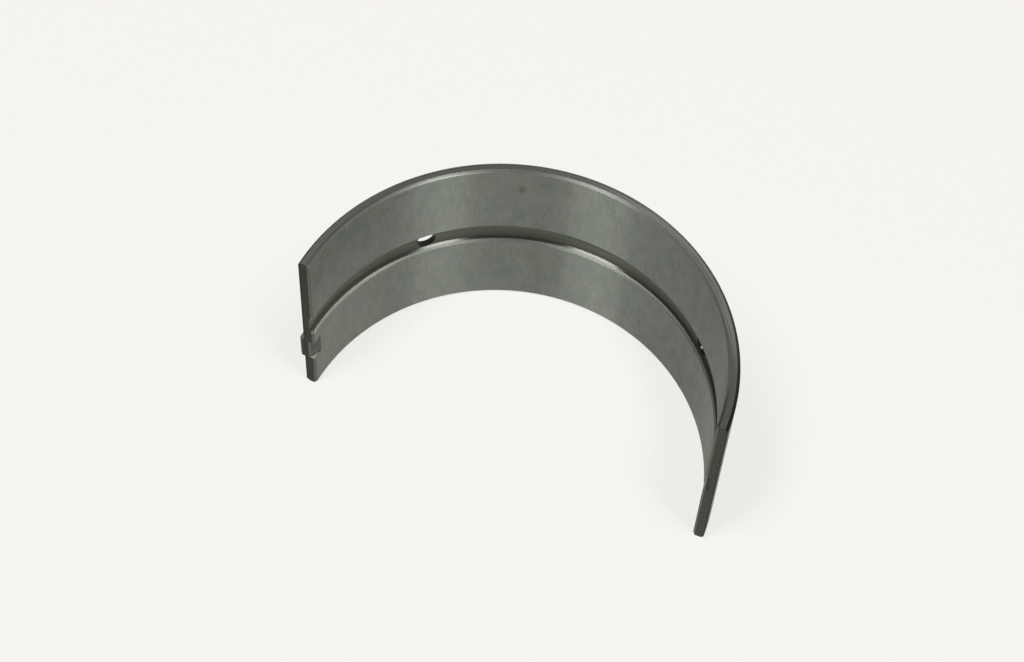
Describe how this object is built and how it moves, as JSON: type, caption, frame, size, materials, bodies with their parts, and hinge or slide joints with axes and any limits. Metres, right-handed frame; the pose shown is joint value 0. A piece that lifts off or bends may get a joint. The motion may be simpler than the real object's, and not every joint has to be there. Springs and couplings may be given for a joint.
{
  "type": "engine bearing shell",
  "caption": "Half shell of a plain engine bearing: thin lined half ring with an oil groove round the bore, oil holes in the groove and a pressed locating tang at one end.",
  "frame": {"origin": "on the bore axis at mid-width", "axes": "+Z along the bore axis, +Y towards the crown, the tang at the -X end and below mid-width"},
  "size_m": [0.0776, 0.0371, 0.0374],
  "materials": {
    "bearing_metal": "grey lined bore with fine machining lines along the axis, turned rims and bright chamfers"
  },
  "bodies": {
    "root": {"bearing_shell": "bearing_metal"}
  },
  "joints": []
}
